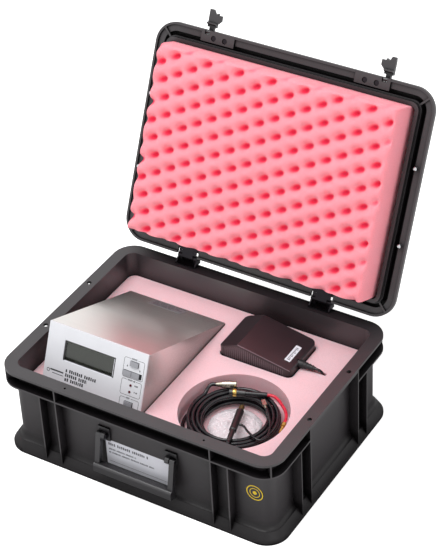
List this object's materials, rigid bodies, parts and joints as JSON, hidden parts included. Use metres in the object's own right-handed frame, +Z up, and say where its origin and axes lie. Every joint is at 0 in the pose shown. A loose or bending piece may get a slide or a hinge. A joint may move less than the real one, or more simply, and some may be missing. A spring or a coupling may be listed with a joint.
{
  "type": "electrostatic voltmeter",
  "caption": "Wedge-shaped bench electrostatic voltmeter with mains adapter, probe and coiled measuring cable, bedded in foam in a hinged carrying case with latches and folding handle.",
  "frame": {"origin": "centre of the case's underside, on the surface that it stands on", "axes": "+X along the case's front towards its right end, -Y towards the front with the handle, +Z up"},
  "size_m": [0.402, 0.4597, 0.4337],
  "materials": {
    "case_plastic": "grained, satin",
    "rim_plastic": "grained, satin",
    "base_foam": "open-cell foam, matt",
    "lid_foam": "convoluted open-cell foam, matt",
    "hinge_steel": "black lacquer, satin",
    "pin_steel": "turned",
    "screw_steel": "dark plated",
    "latch_plastic": "satin",
    "handle_plastic": "satin",
    "cover_steel": "brushed, satin",
    "chassis_steel": "bright",
    "panel_metal": "painted light grey, matt",
    "bezel": "matt",
    "window": "polished",
    "display_cell": "gloss",
    "board": "lacquered",
    "spacer_brass": "turned",
    "button": "satin",
    "switch": "satin",
    "lamp": "clear tinted",
    "shield_tin": "tinned",
    "socket_metal": "polished",
    "socket_plastic": "matt",
    "foot_rubber": "matt",
    "adapter_plastic": "fine grain",
    "transformer": "laminated, varnished",
    "relief_rubber": "matt",
    "cable_black": "gloss sheath",
    "connector_metal": "plated",
    "probe_plastic": "gloss",
    "contact_brass": "worn",
    "clip_metal": "plated",
    "cable_red": "satin sheath",
    "bag_film": "clear film"
  },
  "bodies": {
    "base": {"base_shell": "case_plastic", "foam_pad": "base_foam", "cut_foam": "base_foam", "base_hinge_leaves": "hinge_steel", "hinge_pins": "pin_steel", "base_hinge_screws": "screw_steel", "handle_brackets": "case_plastic", "handle_pins": "pin_steel"},
    "lid": {"lid_hinge_leaves": "hinge_steel", "lid_hinge_screws": "screw_steel", "lid_shell": "rim_plastic", "lid_foam": "lid_foam", "locating_pins": "pin_steel", "latch_blocks": "case_plastic", "latch_screws": "screw_steel", "latch_pins": "pin_steel"},
    "left_latch": {"left_latch": "latch_plastic"},
    "right_latch": {"right_latch": "latch_plastic"},
    "handle": {"handle": "handle_plastic"},
    "meter": {"meter_cover": "cover_steel", "meter_chassis": "chassis_steel", "rear_panel": "panel_metal", "front_panel": "panel_metal", "display_bezel": "bezel", "display_window": "window", "display_module": "display_cell", "display_board": "board", "board_standoffs": "spacer_brass", "indicator_lamps": "lamp", "main_board": "board", "main_board_pillars": "spacer_brass", "input_shield": "shield_tin", "input_socket": "socket_metal", "power_socket": "socket_plastic", "meter_feet": "foot_rubber", "cover_screws": "screw_steel"},
    "upper_button": {"upper_button": "button"},
    "lower_button": {"lower_button": "button"},
    "slide_switch": {"slide_switch": "switch"},
    "adapter": {"adapter_top": "adapter_plastic", "adapter_bottom": "adapter_plastic", "adapter_transformer": "transformer", "adapter_inlet": "socket_plastic", "adapter_strain_relief": "relief_rubber", "adapter_lead": "cable_black", "adapter_lead_coil": "cable_black", "adapter_plug": "relief_rubber"},
    "cable_set": {"coax_coil": "cable_black", "coax_lead": "cable_black", "coax_connector": "connector_metal", "probe_handle": "probe_plastic", "probe_tip": "contact_brass", "earth_lead": "cable_black", "earth_clip": "clip_metal", "lead_plug": "contact_brass", "lead_sleeve": "relief_rubber", "red_lead": "cable_red", "red_lead_end": "contact_brass", "accessory_bag": "bag_film"}
  },
  "joints": [
    {"name": "lid_hinge", "type": "hinge", "parent": "base", "child": "lid", "pos_m": [0, 0.1512, 0.1375], "axis": [-1, 0, 0], "range_deg": [-114.5, 0], "deforming": ["lid_foam"]},
    {"name": "left_latch_hinge", "type": "hinge", "parent": "lid", "child": "left_latch", "pos_m": [-0.1275, 0.27174, 0.40972], "axis": [-1, 0, 0], "range_deg": [-90, 0]},
    {"name": "right_latch_hinge", "type": "hinge", "parent": "lid", "child": "right_latch", "pos_m": [0.1275, 0.27174, 0.40972], "axis": [-1, 0, 0], "range_deg": [-90, 0]},
    {"name": "handle_hinge", "type": "hinge", "parent": "base", "child": "handle", "pos_m": [0, -0.1425, 0.076], "axis": [-1, 0, 0], "range_deg": [0, 90]},
    {"name": "meter_lift", "type": "slide", "parent": "base", "child": "meter", "axis": [0, 0, 1], "range_m": [0, 0.2]},
    {"name": "upper_button_press", "type": "slide", "parent": "meter", "child": "upper_button", "axis": [0, 0.9219, -0.3875], "range_m": [0, 0.0012], "stiffness_N_per_m": 800},
    {"name": "lower_button_press", "type": "slide", "parent": "meter", "child": "lower_button", "axis": [0, 0.9219, -0.3875], "range_m": [0, 0.0012], "stiffness_N_per_m": 800},
    {"name": "switch_slide", "type": "slide", "parent": "meter", "child": "slide_switch", "axis": [1, 0, 0], "range_m": [0, 0.003]},
    {"name": "adapter_lift", "type": "slide", "parent": "base", "child": "adapter", "axis": [0, 0, 1], "range_m": [0, 0.2]},
    {"name": "cable_lift", "type": "slide", "parent": "base", "child": "cable_set", "axis": [0, 0, 1], "range_m": [0, 0.2]}
  ]
}
